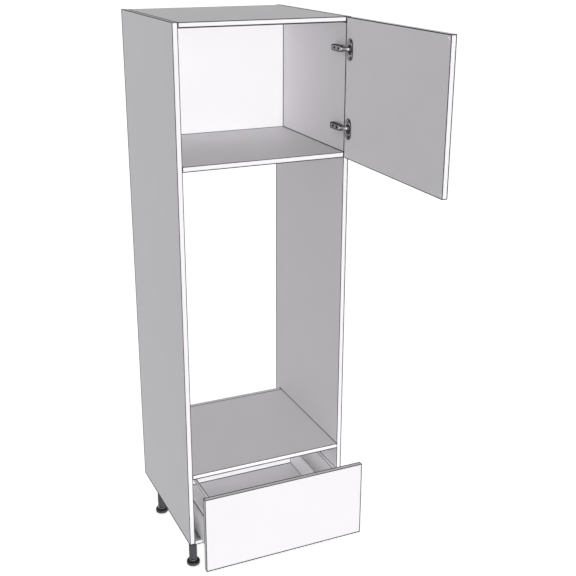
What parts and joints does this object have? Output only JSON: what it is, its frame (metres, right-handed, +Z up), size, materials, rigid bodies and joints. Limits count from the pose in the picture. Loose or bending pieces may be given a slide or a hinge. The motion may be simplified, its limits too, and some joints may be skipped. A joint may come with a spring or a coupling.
{
  "type": "oven housing cabinet",
  "caption": "Tall kitchen cabinet for built-in ovens: a cupboard with a side-hung door above, an open oven bay, a metal-sided drawer below, and adjustable legs.",
  "frame": {"origin": "on the oven shelf's top face, midway across the cabinet and midway between the front and rear edges of its side panels", "axes": "+Z up, +X to the right seen from the front, the front faces -Y"},
  "size_m": [0.6, 1.1655, 1.97],
  "materials": {
    "board": "white melamine-faced chipboard, satin",
    "drawer_steel": "light grey powder coat",
    "runner_steel": "zinc-plated",
    "hinge_steel": "nickel-plated, satin",
    "screw_steel": "dark nickel-plated",
    "leg_plastic": "moulded dark grey plastic",
    "buffer_plastic": "clear grey soft plastic"
  },
  "bodies": {
    "carcass": {"side_panel_left": "board", "side_panel_right": "board", "top_panel": "board", "upper_shelf": "board", "oven_shelf": "board", "bottom_panel": "board", "upper_back_panel": "board", "lower_back_panel": "board", "leg_socket_front_left": "leg_plastic", "leg_socket_front_right": "leg_plastic", "leg_socket_rear_left": "leg_plastic", "leg_socket_rear_right": "leg_plastic", "leg_tube_front_left": "leg_plastic", "leg_tube_front_right": "leg_plastic", "leg_tube_rear_left": "leg_plastic", "leg_tube_rear_right": "leg_plastic", "hinge_plate_lower": "hinge_steel", "hinge_plate_upper": "hinge_steel", "hinge_arm_lower": "hinge_steel", "hinge_arm_upper": "hinge_steel", "adjusting_screw_lower_front": "screw_steel", "adjusting_screw_lower_rear": "screw_steel", "adjusting_screw_upper_front": "screw_steel", "adjusting_screw_upper_rear": "screw_steel", "runner_cabinet_member_left": "runner_steel", "runner_cabinet_member_right": "runner_steel"},
    "door": {"door_panel": "board", "door_buffer_lower": "buffer_plastic", "door_buffer_upper": "buffer_plastic", "hinge_cup_lower": "hinge_steel", "hinge_cup_upper": "hinge_steel", "cup_screw_lower_1": "screw_steel", "cup_screw_lower_2": "screw_steel", "cup_screw_upper_1": "screw_steel", "cup_screw_upper_2": "screw_steel"},
    "outer_links": {"hinge_outer_link_lower": "hinge_steel", "hinge_outer_link_upper": "hinge_steel"},
    "inner_links": {"hinge_inner_link_lower": "hinge_steel", "hinge_inner_link_upper": "hinge_steel"},
    "drawer": {"drawer_front": "board", "drawer_floor": "board", "drawer_back": "board", "drawer_side_left": "drawer_steel", "drawer_side_right": "drawer_steel", "gallery_rail_left": "drawer_steel", "gallery_rail_right": "drawer_steel", "front_bracket_left": "drawer_steel", "front_bracket_right": "drawer_steel", "back_bracket_left": "drawer_steel", "back_bracket_right": "drawer_steel", "runner_drawer_member_left": "runner_steel", "runner_drawer_member_right": "runner_steel"},
    "runner_middle_left": {"runner_middle_member_left": "runner_steel"},
    "runner_middle_right": {"runner_middle_member_right": "runner_steel"},
    "foot_front_left": {"leg_foot_front_left": "leg_plastic"},
    "foot_front_right": {"leg_foot_front_right": "leg_plastic"},
    "foot_rear_left": {"leg_foot_rear_left": "leg_plastic"},
    "foot_rear_right": {"leg_foot_rear_right": "leg_plastic"}
  },
  "joints": [
    {"name": "door_hinge", "type": "hinge", "parent": "carcass", "child": "door", "pos_m": [0.29325, -0.29425, 1.308], "axis": [0, 0, 1], "range_deg": [-90, 20]},
    {"name": "outer_link_pivot", "type": "hinge", "parent": "carcass", "child": "outer_links", "pos_m": [0.2653, -0.2797, 1.308], "axis": [0, 0, 1], "range_deg": [-7, 31]},
    {"name": "inner_link_pivot", "type": "hinge", "parent": "carcass", "child": "inner_links", "pos_m": [0.2708, -0.2822, 1.308], "axis": [0, 0, 1], "range_deg": [-7, 31]},
    {"name": "drawer_slide", "type": "slide", "parent": "carcass", "child": "drawer", "axis": [0, -1, 0], "range_m": [-0.148, 0.292]},
    {"name": "runner_slide_left", "type": "slide", "parent": "carcass", "child": "runner_middle_left", "axis": [0, -1, 0], "range_m": [-0.075, 0.147]},
    {"name": "runner_slide_right", "type": "slide", "parent": "carcass", "child": "runner_middle_right", "axis": [0, -1, 0], "range_m": [-0.075, 0.147]},
    {"name": "foot_slide_front_left", "type": "slide", "parent": "carcass", "child": "foot_front_left", "axis": [0, 0, -1], "range_m": [-0.005, 0.02]},
    {"name": "foot_slide_front_right", "type": "slide", "parent": "carcass", "child": "foot_front_right", "axis": [0, 0, -1], "range_m": [-0.005, 0.02]},
    {"name": "foot_slide_rear_left", "type": "slide", "parent": "carcass", "child": "foot_rear_left", "axis": [0, 0, -1], "range_m": [-0.005, 0.02]},
    {"name": "foot_slide_rear_right", "type": "slide", "parent": "carcass", "child": "foot_rear_right", "axis": [0, 0, -1], "range_m": [-0.005, 0.02]}
  ],
  "couplings": [
    {"joint": "outer_link_pivot", "follows": "door_hinge", "ratio": -0.343},
    {"joint": "inner_link_pivot", "follows": "door_hinge", "ratio": -0.343},
    {"joint": "runner_slide_left", "follows": "drawer_slide", "ratio": 0.5},
    {"joint": "runner_slide_right", "follows": "drawer_slide", "ratio": 0.5}
  ]
}
